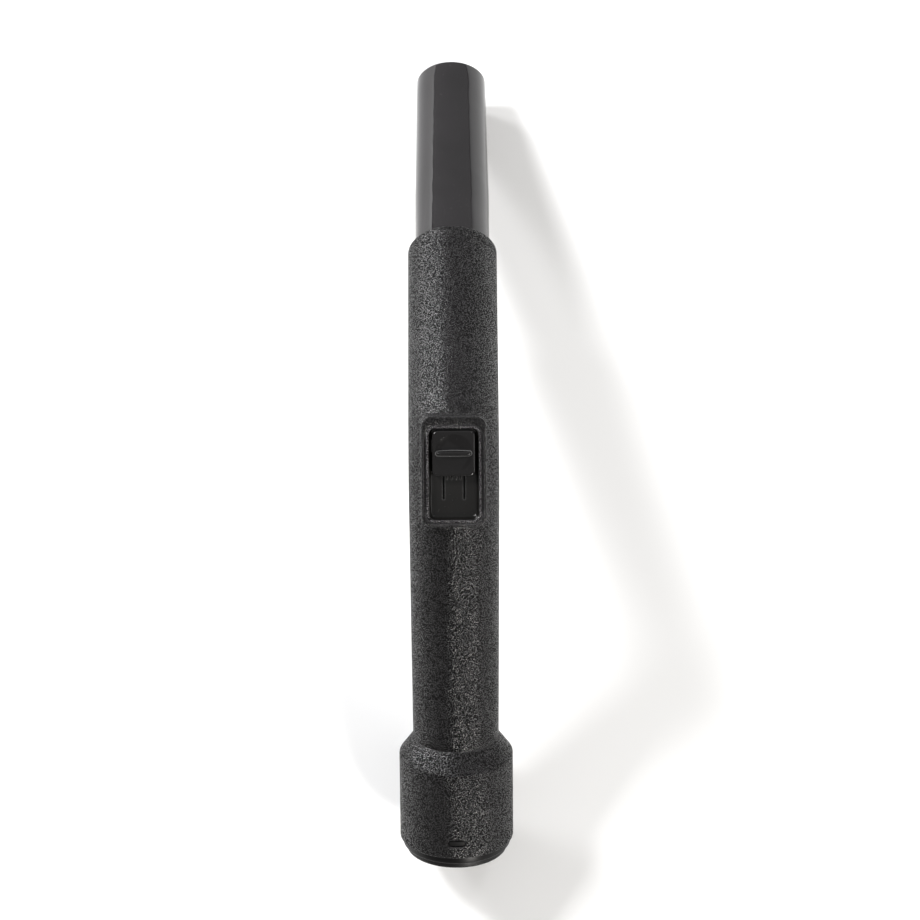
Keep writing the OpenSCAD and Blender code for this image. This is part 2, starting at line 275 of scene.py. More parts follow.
def rounded_profile(corners):
    """Closed profile whose corners, given as (radius, height, rounding), are turned into arcs."""
    steps = 6
    made = []
    for i, (r, z, rounding) in enumerate(corners):
        here = Vector((r, z))
        before = Vector(corners[i - 1][:2]) - here
        after = Vector(corners[(i + 1) % len(corners)][:2]) - here
        if rounding <= 0:
            made.append(here)
            continue
        half = before.angle(after) / 2
        reach = rounding / math.tan(half)
        inward = (before.normalized() + after.normalized()).normalized()
        centre = here + inward * (rounding / math.sin(half))
        start = here + before.normalized() * reach - centre
        end = here + after.normalized() * reach - centre
        for k in range(steps + 1):
            t = k / steps
            made.append(centre + (start.lerp(end, t)).normalized() * rounding)
    return made


def finer(profile, longest):
    """Profile with long runs cut into shorter ones."""
    made = []
    for a, b in zip(profile, profile[1:] + profile[:1]):
        count = max(1, math.ceil((b - a).length / longest))
        made.extend(a.lerp(b, i / count) for i in range(count))
    return made


def corner_index(profile, r, z):
    """Which point of a profile lies at a radius and height."""
    gaps = [math.hypot(p[0] - r, p[1] - z) for p in profile]
    return gaps.index(min(gaps))


def revolved(skin, profile, segments, closed=True):
    """Turns a profile of (radius, height) round the local Z axis."""
    rings = []
    for i in range(segments):
        a = 2 * math.pi * i / segments
        rings.append(skin.add((p[0] * math.cos(a), p[0] * math.sin(a), p[1]) for p in profile))
    for a, b in zip(rings, rings[1:] + rings[:1]):
        skin.band(a, b, closed)


def made_object(name, skin, matrix, material, body, replaced=()):
    """Turns a skin into a Blender object in the row frame, riding on a CAD body."""
    mesh = bpy.data.meshes.new(name)
    place = Matrix.Scale(TO_METRES, 4) @ matrix
    mesh.from_pydata([place @ p for p in skin.points], [], skin.faces)
    bm = bmesh.new()
    bm.from_mesh(mesh)
    bmesh.ops.remove_doubles(bm, verts=bm.verts, dist=MERGE_DISTANCE)
    bmesh.ops.recalc_face_normals(bm, faces=bm.faces)
    bm.to_mesh(mesh)
    bm.free()
    mesh.polygons.foreach_set("use_smooth", [True] * len(mesh.polygons))
    mesh.set_sharp_from_angle(angle=SHARP_ANGLE)
    mesh.materials.append(material)
    obj = bpy.data.objects.new(name, mesh)
    bpy.context.scene.collection.objects.link(obj)
    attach(obj, body)
    if replaced:
        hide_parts(*replaced)
    return obj


# ---------------------------------------------------------------- materials


class Nodes:
    """Short way to build a material's node tree."""

    def __init__(self, name):
        self.material = bpy.data.materials.new(name)
        self.material.use_nodes = True
        self.tree = self.material.node_tree
        self.tree.nodes.clear()
        self.out = self.add("ShaderNodeOutputMaterial")
        self.coords = self.add("ShaderNodeTexCoord").outputs["Object"]

    def add(self, kind, **values):
        """New node, with its properties or its sockets set by name."""
        node = self.tree.nodes.new(kind)
        for key, value in values.items():
            if hasattr(node, key):
                setattr(node, key, value)
            else:
                node.inputs[key.replace("_", " ")].default_value = value
        return node

    def link(self, a, b):
        self.tree.links.new(a, b)

    def noise(self, scale, detail=2.0, roughness=0.5, stretch=None):
        """Noise whose features are about 1/scale metres across."""
        node = self.add("ShaderNodeTexNoise", Scale=scale, Detail=detail, Roughness=roughness)
        source = self.coords
        if stretch:
            mapping = self.add("ShaderNodeMapping")
            mapping.inputs["Scale"].default_value = stretch
            self.link(source, mapping.inputs["Vector"])
            source = mapping.outputs["Vector"]
        self.link(source, node.inputs["Vector"])
        return node.outputs["Fac"]

    def cells(self, scale, smooth):
        """Distance from the middles of soft round cells about 1/scale metres apart."""
        node = self.add("ShaderNodeTexVoronoi", feature="SMOOTH_F1", Scale=scale, Smoothness=smooth)
        self.link(self.coords, node.inputs["Vector"])
        return node.outputs["Distance"]

    def math(self, operation, a, b):
        node = self.add("ShaderNodeMath", operation=operation)
        for socket, value in zip(node.inputs, (a, b)):
            if isinstance(value, float):
                socket.default_value = value
            else:
                self.link(value, socket)
        return node.outputs[0]

    def ramp(self, value, low, high, to_low=0.0, to_high=1.0):
        """Smooth change from one value to another as the input goes from low to high."""
        node = self.add("ShaderNodeMapRange", interpolation_type="SMOOTHSTEP")
        for key, number in (("From Min", low), ("From Max", high), ("To Min", to_low), ("To Max", to_high)):
            node.inputs[key].default_value = number
        self.link(value, node.inputs["Value"])
        return node.outputs["Result"]

    def patches(self, noise, to_low=0.0, to_high=1.0):
        """Soft patches from a noise, over the range it mostly keeps to."""
        return self.ramp(noise, 0.3, 0.7, to_low, to_high)

    def scaled(self, value, share):
        return self.math("MULTIPLY", value, share)

    def mix(self, factor, a, b):
        """Mix of two colours. Sockets 6, 7 and 2 are the colours among the node's sockets."""
        node = self.add("ShaderNodeMix", data_type="RGBA")
        self.link(factor, node.inputs["Factor"])
        for socket, colour in ((node.inputs[6], a), (node.inputs[7], b)):
            if isinstance(colour, tuple):
                socket.default_value = (*colour, 1)
            else:
                self.link(colour, socket)
        return node.outputs[2]

    def bump(self, height, strength, distance, under=None):
        node = self.add("ShaderNodeBump", Strength=strength, Distance=distance)
        self.link(height, node.inputs["Height"])
        if under is not None:
            self.link(under, node.inputs["Normal"])
        return node.outputs["Normal"]

    def edge_mask(self, radius):
        """1 on sharp edges and 0 on open surfaces."""
        bevel = self.add("ShaderNodeBevel", samples=4, Radius=radius)
        flat = self.add("ShaderNodeNewGeometry").outputs["Normal"]
        dot = self.add("ShaderNodeVectorMath", operation="DOT_PRODUCT")
        self.link(bevel.outputs["Normal"], dot.inputs[0])
        self.link(flat, dot.inputs[1])
        return self.ramp(dot.outputs["Value"], 0.985, 0.88)

    def surface(self, colour, roughness, normal, shine=None, **constants):
        """Principled surface. shine is a specular level that changes over the surface."""
        shader = self.add("ShaderNodeBsdfPrincipled")
        sockets = ("Base Color", "Roughness", "Normal", "Specular IOR Level")
        for socket, value in zip(sockets, (colour, roughness, normal, shine)):
            if value is None:
                continue
            if isinstance(value, float):
                shader.inputs[socket].default_value = value
            else:
                self.link(value, shader.inputs[socket])
        for key, value in constants.items():
            shader.inputs[key.replace("_", " ")].default_value = value
        self.link(shader.outputs[0], self.out.inputs["Surface"])
        return self.material


def lighter(colour, times):
    return tuple(min(1.0, times * c) for c in colour)


def grained_plastic(name, top_tone):
    """Black plastic with a spark-eroded grain, as on the grip and the collar, and a painted highlight on sharp
    edges.
    """
    n = Nodes(name)
    pebbles = n.cells(1950, smooth=0.15)
    fine = n.noise(2300, detail=1)
    height = n.math("SUBTRACT", n.scaled(fine, 0.6), n.scaled(pebbles, 0.8))
    valley, top = -0.12, 0.05
    tops = n.ramp(height, -0.08, 0.04)
    wear = n.noise(28, detail=3)
    edges = n.edge_mask(0.0009)
    base = n.mix(n.patches(wear), (0.003, 0.0028, 0.003), (0.0045, 0.0042, 0.0045))
    grained = n.mix(tops, base, (top_tone, 0.95 * top_tone, top_tone))
    # Painted highlight: sharp edges are mixed towards a lighter grey.
    colour = n.mix(n.scaled(edges, 0.5), grained, (0.09, 0.087, 0.09))
    polish = n.patches(wear, 0.06, 0.0)
    rough = n.math("ADD", n.ramp(height, valley, top, 0.66, 0.16), polish)
    shine = n.ramp(height, valley, top, 0.1, 0.8)
    normal = n.bump(height, 1.0, 0.00018)
    return n.surface(colour, rough, normal, shine=shine)


def gloss_plastic(name, colour, rough_low, rough_high, shine=0.5, edge_highlight_tone=0.05):
    """Polished black plastic: flow marks, faint rubbing scratches and a little dust, with a painted highlight on
    sharp edges.
    """
    n = Nodes(name)
    flow = n.noise(60, detail=1)
    scratches = n.noise(900, detail=2, stretch=(1, 0.06, 0.06))
    dust = n.ramp(n.noise(700, detail=3, roughness=0.7), 0.66, 0.74)
    edges = n.edge_mask(0.0006)
    tone = n.mix(n.patches(flow), colour, lighter(colour, 1.25))
    dusted = n.mix(n.scaled(dust, 0.25), tone, (0.09, 0.088, 0.085))
    # Painted highlight: sharp edges are mixed towards the lighter edge tone.
    lightened_edges = n.mix(n.scaled(edges, 0.4), dusted, (edge_highlight_tone, edge_highlight_tone, edge_highlight_tone))
    rubbed = n.math("ADD", flow, n.scaled(scratches, 0.8))
    rough = n.ramp(rubbed, 0.55, 1.15, rough_low, rough_high)
    dusty = n.math("ADD", rough, n.scaled(dust, 0.2))
    under = n.bump(flow, 0.5, 0.0004)
    normal = n.bump(scratches, 0.05, 0.00002, under)
    return n.surface(lightened_edges, dusty, normal, Specular_IOR_Level=shine)


def plain_plastic(name, colour, rough):
    """Moulded inner parts: an even satin with faint machining marks."""
    n = Nodes(name)
    cloud = n.noise(90, detail=4)
    marks = n.noise(1400, detail=2)
    tone = n.mix(n.patches(cloud), colour, lighter(colour, 1.3))
    # Sharp edges are made lighter.
    lightened_edges = n.mix(n.scaled(n.edge_mask(0.0004), 0.4), tone, lighter(colour, 1.6))
    return n.surface(lightened_edges, n.patches(cloud, rough, rough + 0.12), n.bump(marks, 0.25, 0.00005))


def rubber():
    """Dark seals: matt, with a grey bloom and fine pores."""
    n = Nodes("seal_rubber")
    bloom = n.noise(160, detail=4)
    pores = n.noise(3000, detail=2)
    tone = n.mix(n.ramp(bloom, 0.35, 0.7), (0.018, 0.018, 0.018), (0.035, 0.034, 0.033))
    return n.surface(tone, n.patches(bloom, 0.75, 0.9), n.bump(pores, 0.4, 0.00005))


def steel():
    """Spring steel, brushed across."""
    n = Nodes("spring_steel")
    brushed = n.noise(1500, detail=3, stretch=(1, 0.05, 0.05))
    tone = n.mix(n.patches(brushed), (0.5, 0.5, 0.52), (0.66, 0.66, 0.67))
    rough = n.patches(brushed, 0.22, 0.4)
    return n.surface(tone, rough, n.bump(brushed, 0.15, 0.00002), Metallic=1.0)


GRAIN = grained_plastic("grained_plastic", 0.014)
# The bead's grain tops are painted far lighter than the grip's: a painted highlight on a copy of the same plastic.
HIGHLIT_BEAD_GRAIN = grained_plastic("bead_grain_painted_highlight", 0.13)
SPIGOT_GLOSS = gloss_plastic("spigot_gloss", (0.012, 0.0108, 0.0118), 0.05, 0.1)
RING_GLOSS = gloss_plastic("ring_gloss", (0.005, 0.0048, 0.005), 0.3, 0.4, shine=0.18)
CUFF_GLOSS = gloss_plastic("cuff_gloss", (0.006, 0.0058, 0.006), 0.4, 0.5, shine=0.25)
# The tray's and the knob's edge tones are painted highlights on their edges.
TRAY_GLOSS = gloss_plastic("tray_gloss", (0.006, 0.0056, 0.0052), 0.16, 0.26, edge_highlight_tone=0.12)
KNOB_GLOSS = gloss_plastic("knob_gloss", (0.006, 0.0055, 0.0056), 0.08, 0.13, edge_highlight_tone=0.36)
DUCT_PLASTIC = plain_plastic("duct_plastic", (0.025, 0.025, 0.027), 0.45)
WHITE_POM = plain_plastic("white_pom", (0.62, 0.6, 0.55), 0.35)
RUBBER = rubber()
STEEL = steel()


# ---------------------------------------------------------------- grip shells

GRIP_R_TOP = 19.1
GRIP_R_BEND = 19.15
GRIP_R_LOW = 18.35
SHELL_INNER_R = 16.3
SPIGOT_HOLE_R = 16.02
END_WALL = 2.4
SHOULDER_ROUND = 0.8
SEAM_ROUND = 0.3
SEAM_GAP = 0.06
FRAME_W, FRAME_LEN, FRAME_CORNER = 27.1, 46.1, 4.2
FRAME_TOP = 22.0
FRAME_FOOT = 1.6
FRAME_EDGE = 0.8
OPENING_W, OPENING_LEN, OPENING_CORNER, OPENING_Y = 22.5, 40.0, 3.4, -1.25
BEAD_OUT, BEAD_IN = 0.35, -0.75
GROOVE_OUT, GROOVE_DEPTH = 1.25, 0.8
GROOVE_HALF, GROOVE_RUN_OUT = 13, 0.85
LEDGE_Z = 17.45
SKIRT_W, SKIRT_LEN = 17.5, 39.0
WELL_GAP = 0.15
SEAT_GAP = 0.05


def grip_r(s):
    """Outer radius of the grip along its centreline."""
    if s > ARC:
        return GRIP_R_BEND + (GRIP_R_TOP - GRIP_R_BEND) * (s - ARC) / (S_SHOULDER - ARC)
    if s < -ARC:
        return GRIP_R_BEND + (GRIP_R_LOW - GRIP_R_BEND) * (s + ARC) / (S_CONE + ARC)
    return GRIP_R_BEND


def shell_inner_r(s):
    return SPIGOT_HOLE_R if s > S_SHOULDER - END_WALL else SHELL_INNER_R


def column_height(x, y, radius_at):
    """Height above the regulator's origin at which a column meets a tube of the given radius."""
    low, high = 0.0, 25.0
    for _ in range(40):
        mid = (low + high) / 2
        s, _, r = tube_place(AT_REGULATOR @ Vector((x, y, mid)))
        if r < radius_at(s):
            low = mid
        else:
            high = mid
    return low


def on_column(loop, radius_at, lift=0.0):
    return [Vector((x, y, column_height(x, y, radius_at) + lift)) for x, y in loop]


def frame_loop(grow):
    return rounded_loop(FRAME_W + 2 * grow, FRAME_LEN + 2 * grow, FRAME_CORNER + grow)


def opening_loop(grow):
    return rounded_loop(OPENING_W + 2 * grow, OPENING_LEN + 2 * grow, OPENING_CORNER + grow, OPENING_Y)


def smooth_step(t):
    """0 up to t = 0 and 1 from t = 1, with a soft change in between."""
    t = max(0.0, min(1.0, t))
    return t * t * (3 - 2 * t)


def groove_share(y):
    """The groove beside the bead is deep along the sides and runs out at the two ends."""
    past = (abs(y - OPENING_Y) - GROOVE_HALF) / (OPENING_LEN / 2 - GROOVE_HALF)
    return 1 - GROOVE_RUN_OUT * smooth_step(past)


def frame_rings():
    """Rings of the raised regulator frame, from its foot on the grip to the inside of the shell."""
    rings = []
    for a in quarter(5):
        loop = frame_loop(FRAME_FOOT * (1 - math.sin(a)))
        rings.append(on_column(loop, grip_r, FRAME_FOOT * (1 - math.cos(a))))
    for a in quarter(5):
        loop = frame_loop(-FRAME_EDGE * (1 - math.cos(a)))
        rings.append(lifted(loop, FRAME_TOP - FRAME_EDGE + FRAME_EDGE * math.sin(a)))
    rings.append(lifted(between(frame_loop(-FRAME_EDGE), opening_loop(GROOVE_OUT), 0.5), FRAME_TOP))
    for grow, drop in ((GROOVE_OUT, 0.03), (1.15, 0.3), (1.0, 0.75), (0.8, 1.0), (0.5, 1.0)):
        loop = opening_loop(grow)
        rings.append([Vector((x, y, FRAME_TOP - drop * GROOVE_DEPTH * groove_share(y))) for x, y in loop])
    rings.append(lifted(opening_loop(0.4), LEDGE_Z))
    well = rounded_loop(SKIRT_W + 2 * WELL_GAP, SKIRT_LEN + 2 * WELL_GAP, 1.2, OPENING_Y)
    rings.append(lifted(well, LEDGE_Z))
    rings.append(on_column(well, shell_inner_r))
    return [[AT_REGULATOR @ p for p in ring] for ring in rings]


def border(s_low, s_high, reach):
    """Closed outline of a half shell in (length, angle), with the rounding of each edge as a vector."""
    along = 110
    round_count = 36
    points = []
    for i in range(along):
        t = i / along
        points.append((s_low + (s_high - s_low) * t, -reach, (0, -1)))
    for i in range(round_count):
        points.append((s_high, -reach + 2 * reach * i / round_count, (1, 0)))
    for i in range(along):
        points.append((s_high - (s_high - s_low) * i / along, reach, (0, 1)))
    for i in range(round_count):
        points.append((s_low, reach - 2 * reach * i / round_count, (-1, 0)))
    far = along + round_count
    corners = {0: (-1, -1), along: (1, -1), far: (1, 1), far + along: (-1, 1)}
    return [(s, a, corners.get(i, edge)) for i, (s, a, edge) in enumerate(points)]


def half_shell(name, facing, node, regulator):
    """Half of the grip: outer skin, rounded edges, inner skin and, in front, the regulator's frame."""
    skin = Skin()
    reach = math.pi / 2 - SEAM_GAP / GRIP_R_BEND
    outline = border(S_CONE, S_SHOULDER, reach)
    turn = math.radians(facing)

    def edge_ring(a):
        ring, flat = [], []
        for s, angle, (ds, da) in outline:
            round_s = SHOULDER_ROUND if ds > 0 else SEAM_ROUND
            inset_s = ds * round_s * (math.sin(a) - 1)
            inset_a = da * SEAM_ROUND * (math.sin(a) - 1) / GRIP_R_BEND
            drop = (round_s if ds else SEAM_ROUND) * (1 - math.cos(a))
            ring.append(on_tube(s + inset_s, angle + inset_a + turn, grip_r(s) - drop))
            flat.append((s + inset_s, (angle + inset_a) * GRIP_R_BEND))
        return ring, flat

    outer, flat_outer = edge_ring(0.0)
    rounds = [edge_ring(a)[0] for a in quarter(4)[1:]]
    inner = [on_tube(s, angle + turn, shell_inner_r(s)) for s, angle, _ in outline]
    flat_inner = [(s, angle * GRIP_R_BEND) for s, angle, _ in outline]
    made = skin.loft([outer] + rounds + [inner])

    holes_outer, holes_inner, foot, well = [], [], [], []
    if regulator:
        rings = frame_rings()
        ids = skin.loft(rings)
        foot, well = ids[0], ids[-1]
        for ring, holes in ((rings[0], holes_outer), (rings[-1], holes_inner)):
            for p in ring:
                s, angle, _ = tube_place(p)
                holes.append((s, angle * GRIP_R_BEND))

    wide = reach * GRIP_R_BEND
    for flat_rim, rim_ids, hole, hole_ids, radius_at, steps, clear in (
        (flat_outer, made[0], holes_outer, foot, grip_r, (118, 40), 0.7),
        (flat_inner, made[-1], holes_inner, well, shell_inner_r, (80, 20), 1.4),
    ):
        rims = [flat_rim] + ([hole] if hole else [])
        loose = loose_points((S_CONE, -wide), (S_SHOULDER, wide), steps, rims, clear)
        skin.fill(
            rims,
            loose,
            lambda p: on_tube(p[0], p[1] / GRIP_R_BEND + turn, radius_at(p[0])),
            rim_ids + hole_ids,
        )
    return made_object(name, skin, Matrix.Identity(4), GRAIN, "handle", [node])


half_shell("grip_front", 0, "grip_front_shell", True)
half_shell("grip_rear", 180, "grip_rear_shell", False)


# ---------------------------------------------------------------- wand spigot

ROUND_COUNT = 144
SPIGOT_R = 16.0
SPIGOT_TIP_R = 14.95
SPIGOT_SEAT = 29.5
SPIGOT_ROOT = 20.0
SPIGOT_ROOT_R = 15.6
LOCK_R, LOCK_LOW, LOCK_HIGH = 17.0, -9.0, -6.0
AIR_R = 13.2
DUCT_SOCKET_R, DUCT_SOCKET_DEPTH = 14.7, 8.0


def spigot():
    """Tapered tube that the wand slides on to, with its root and its locking ring inside the grip."""
    skin = Skin()
    profile = rounded_profile([
        (SPIGOT_ROOT_R, -SPIGOT_ROOT, 0.3),
        (SPIGOT_ROOT_R, LOCK_LOW, 0),
        (LOCK_R, LOCK_LOW, 0.2),
        (LOCK_R, LOCK_HIGH, 0.2),
        (SPIGOT_ROOT_R, LOCK_HIGH, 0),
        (SPIGOT_ROOT_R, 0.0, 0),
        (SPIGOT_R, 0.0, 0),
        (SPIGOT_R, SPIGOT_SEAT, 0),
        (SPIGOT_TIP_R, SPIGOT_LEN, 0.55),
        (AIR_R, SPIGOT_LEN, 0.4),
        (AIR_R, DUCT_SOCKET_DEPTH - SPIGOT_ROOT, 0),
        (DUCT_SOCKET_R, DUCT_SOCKET_DEPTH - SPIGOT_ROOT, 0),
        (DUCT_SOCKET_R, -SPIGOT_ROOT, 0.2),
    ])
    revolved(skin, finer(profile, 6.0), ROUND_COUNT)
    return made_object("spigot", skin, AT_SHOULDER, SPIGOT_GLOSS, "handle", ["spigot_tube"])


spigot()


# ---------------------------------------------------------------- hose collar, swivel ring and cuff

COLLAR_R = 24.35
COLLAR_INNER_R = 22.6
COLLAR_ROOM = 36.0
WINDOW_LEN, WINDOW_H, WINDOW_UP = 7.9, 3.15, 7.0
WINDOW_EDGE = 0.35
PATCH_LOW, PATCH_HIGH = -13.0, -2.0
NECK_R, NECK_LEN = 16.2, 16.0
AIR_NECK_R, AIR_NECK_END = 14.8, -30.0
RING_R, RING_INNER_R, RING_LEN = 22.5, 20.75, 16.0
RING_LIP_R, RING_LIP_H = 23.05, 3.2
NOSE_ROOT_R, NOSE_R, NOSE_EDGE, NOSE_GAP = 21.5, 24.0, 0.5, 0.25
HOSE_SEAT_R = 18.9
FLANGE_R, FLANGE_LOW = 21.5, 3.5
CUFF_R, CUFF_END = 20.45, -34.7
CLIP_SEAT_R, CLIP_LOW, CLIP_HIGH = 19.9, -18.0, -16.3
THREAD_LOW, THREAD_HIGH = -29.0, -5.2
THREAD_PITCH, THREAD_H, THREAD_ROWS = 4.0, 1.0, 96


def collar():
    """Flared end of the grip, with its neck inside the shells and a latch window on each side."""
    skin = Skin()
    cone_top = -(COLLAR_LEN + CONE_H)
    profile = rounded_profile([
        (DUCT_SOCKET_R, cone_top - NECK_LEN, 0.2),
        (NECK_R, cone_top - NECK_LEN, 0.3),
        (NECK_R, cone_top, 0),
        (GRIP_R_LOW, cone_top, 0.12),
        (COLLAR_R, -COLLAR_LEN, 1.0),
        (COLLAR_R, PATCH_LOW, 0),
        (COLLAR_R, PATCH_HIGH, 0),
        (COLLAR_R, 0.0, 0.45),
        (COLLAR_INNER_R, 0.0, 0.25),
        (COLLAR_INNER_R, PATCH_HIGH, 0),
        (COLLAR_INNER_R, PATCH_LOW, 0),
        (COLLAR_INNER_R, -COLLAR_ROOM, 0.4),
        (AIR_NECK_R, -COLLAR_ROOM, 0.3),
        (AIR_NECK_R, AIR_NECK_END, 0.2),
        (AIR_R, AIR_NECK_END, 0.2),
        (AIR_R, cone_top - DUCT_SOCKET_DEPTH, 0),
        (DUCT_SOCKET_R, cone_top - DUCT_SOCKET_DEPTH, 0),
    ])
    outer_start = corner_index(profile, COLLAR_R, PATCH_LOW)
    inner_start = corner_index(profile, COLLAR_INNER_R, PATCH_HIGH)
    revolved(skin, profile[outer_start + 1:inner_start + 1], ROUND_COUNT, closed=False)
    revolved(skin, profile[inner_start + 1:] + profile[:outer_start + 1], ROUND_COUNT, closed=False)
    for side in (1, -1):
        collar_window(skin, side)
    return made_object("hose_collar_skin", skin, AT_COLLAR, GRAIN, "handle", ["hose_collar"])


def collar_window(skin, side):
    """Half of the collar's wall, round the latch window on one side."""
    facing = side * math.pi / 2
    step = 2 * math.pi / ROUND_COUNT
    count = ROUND_COUNT // 2
    angles = [-math.pi / 2 + step * i for i in range(count + 1)]
    rim = [(a * COLLAR_R, PATCH_LOW) for a in angles]
    rim += [(a * COLLAR_R, PATCH_HIGH) for a in reversed(angles)]

    def wall(r):
        return lambda p: (
            r * math.cos(facing + p[0] / COLLAR_R),
            r * math.sin(facing + p[0] / COLLAR_R),
            p[1],
        )

    rings = []
    for a in quarter(3):
        grow = WINDOW_EDGE * (1 - math.sin(a))
        drop = WINDOW_EDGE * (1 - math.cos(a))
        loop = obround_loop(WINDOW_LEN + 2 * grow, WINDOW_H + 2 * grow, 0, -WINDOW_UP)
        rings.append((loop, COLLAR_R - drop))
    rings.append((rings[-1][0], COLLAR_INNER_R))
    ids = skin.loft([[Vector(wall(r)(p)) for p in loop] for loop, r in rings])
    for (loop, r), hole_ids in ((rings[0], ids[0]), (rings[-1], ids[-1])):
        rim_ids = skin.add(wall(r)(p) for p in rim)
        low = (angles[0] * COLLAR_R, PATCH_LOW)
        high = (angles[-1] * COLLAR_R, PATCH_HIGH)
        loose = loose_points(low, high, (count, 10), [rim, loop], 0.5)
        skin.fill([rim, loop], loose, wall(r), rim_ids + hole_ids)


def swivel_ring():
    """Ring that holds the cuff: a sleeve in the collar, a lip below it and a latch nose on each side."""
    skin = Skin()
    profile = rounded_profile([
        (RING_R, -RING_LEN, 0.3),
        (RING_R, 0.0, 0),
        (RING_LIP_R, 0.0, 0.1),
        (RING_LIP_R, RING_LIP_H, 0.6),
        (RING_INNER_R, RING_LIP_H, 0.3),
        (RING_INNER_R, -RING_LEN, 0.3),
    ])
    revolved(skin, finer(profile, 4.0), ROUND_COUNT)
    for side in (1, -1):
        latch_nose(skin, side)
    return made_object("swivel_ring_skin", skin, AT_COLLAR, RING_GLOSS, "handle",
                       ["swivel_ring"])


def latch_nose(skin, side):
    """Snap nose of the swivel ring, seen in the collar's window."""
    levels = [(NOSE_ROOT_R, NOSE_GAP)]
    for a in (math.radians(d) for d in (0, 25, 50, 75, 90)):
        levels.append((NOSE_R - NOSE_EDGE * (1 - math.sin(a)), NOSE_GAP + NOSE_EDGE * (1 - math.cos(a))))
    rings = []
    for r, inset in levels:
        loop = obround_loop(WINDOW_LEN - 2 * inset, WINDOW_H - 2 * inset, 0, -WINDOW_UP)
        rings.append([Vector((x, side * math.sqrt(r * r - x * x), z)) for x, z in loop])
    ids = skin.loft(rings)
    skin.cap(ids[0], ids[-1])


def thread_share(z, turns):
    """Height of the hose thread, from 0 to 1, at a height and a share of a turn."""
    half_width, flank, run_in = 0.27, 0.13, 2.0
    phase = (z / THREAD_PITCH - turns) % 1.0
    fade = min(1.0, (z - THREAD_LOW) / run_in, (THREAD_HIGH - z) / run_in)
    return smooth_step((half_width - abs(phase - 0.5)) / flank) * fade


def cuff():
    """Rotating cuff with the hose thread inside and the flange that shows below the ring."""
    skin = Skin()
    profile = rounded_profile([
        (HOSE_SEAT_R, THREAD_HIGH, 0),
        (HOSE_SEAT_R, FLANGE_REACH, 0.35),
        (FLANGE_R, FLANGE_REACH, 0.8),
        (FLANGE_R, FLANGE_LOW, 0.35),
        (CUFF_R, FLANGE_LOW, 0.1),
        (CUFF_R, CLIP_HIGH, 0),
        (CLIP_SEAT_R, CLIP_HIGH, 0),
        (CLIP_SEAT_R, CLIP_LOW, 0),
        (CUFF_R, CLIP_LOW, 0),
        (CUFF_R, CUFF_END, 0.3),
        (HOSE_SEAT_R, CUFF_END, 0.3),
        (HOSE_SEAT_R, THREAD_LOW, 0),
    ])
    chain = finer(profile, 4.0)
    last = corner_index(chain, HOSE_SEAT_R, THREAD_LOW)
    revolved(skin, chain[:last + 1], ROUND_COUNT, closed=False)
    columns = []
    for i in range(ROUND_COUNT):
        a = 2 * math.pi * i / ROUND_COUNT
        column = []
        for k in range(THREAD_ROWS + 1):
            z = THREAD_LOW + (THREAD_HIGH - THREAD_LOW) * k / THREAD_ROWS
            r = HOSE_SEAT_R - THREAD_H * thread_share(z, i / ROUND_COUNT)
            column.append((r * math.cos(a), r * math.sin(a), z))
        columns.append(skin.add(column))
    for a, b in zip(columns, columns[1:] + columns[:1]):
        skin.band(a, b, closed=False)
    return made_object("hose_cuff_skin", skin, AT_COLLAR, CUFF_GLOSS, "hose_swivel",
                       ["hose_cuff"])


collar()
swivel_ring()
cuff()


# ---------------------------------------------------------------- regulator

TRAY_GAP = 0.1
TRAY_SEAT = 20.85
BEAD_TOP, BEAD_R = 22.05, 0.5
FLOOR_TOP, FLOOR_BOTTOM = 19.1, 17.9
FLOOR_W, FLOOR_LEN, FLOOR_Y, FLOOR_CORNER = 18.8, 36.5, -0.65, 2.0
SLOT_EDGE, LIP_H = 0.35, 0.14
CHAMBER_W, CHAMBER_LEN = 14.5, 36.0
SKIRT_LOW = 16.2
RAIL_X, RAIL_W, RAIL_LEN, RAIL_CORNER = 4.3, 0.6, 22.4, 0.28
PORT_LEN, PORT_W, PORT_Y = 13.0, 4.6, 8.0
RIB_COUNT, RIB_PITCH, RIB_W, RIB_LEN, RIB_Y = 4, 1.9, 0.6, 1.6, -2.9
KNOB_W, KNOB_LEN, KNOB_CORNER, KNOB_Y = 18.2, 19.4, 2.4, 7.6
KNOB_BOTTOM, KNOB_TOP = 19.4, 22.8
KNOB_EDGE, KNOB_HOLLOW, KNOB_SLOPE = 0.8, 1.5, 0.15
DISH_R, DISH_DEPTH, DISH_LIP, DISH_STEP = 7.85, 1.4, 0.15, 0.06
FIN_LEN = 15.8
LEG_W, LEG_LEN, LEG_END, LEG_POINT = 0.45, 5.0, 16.5, 0.4


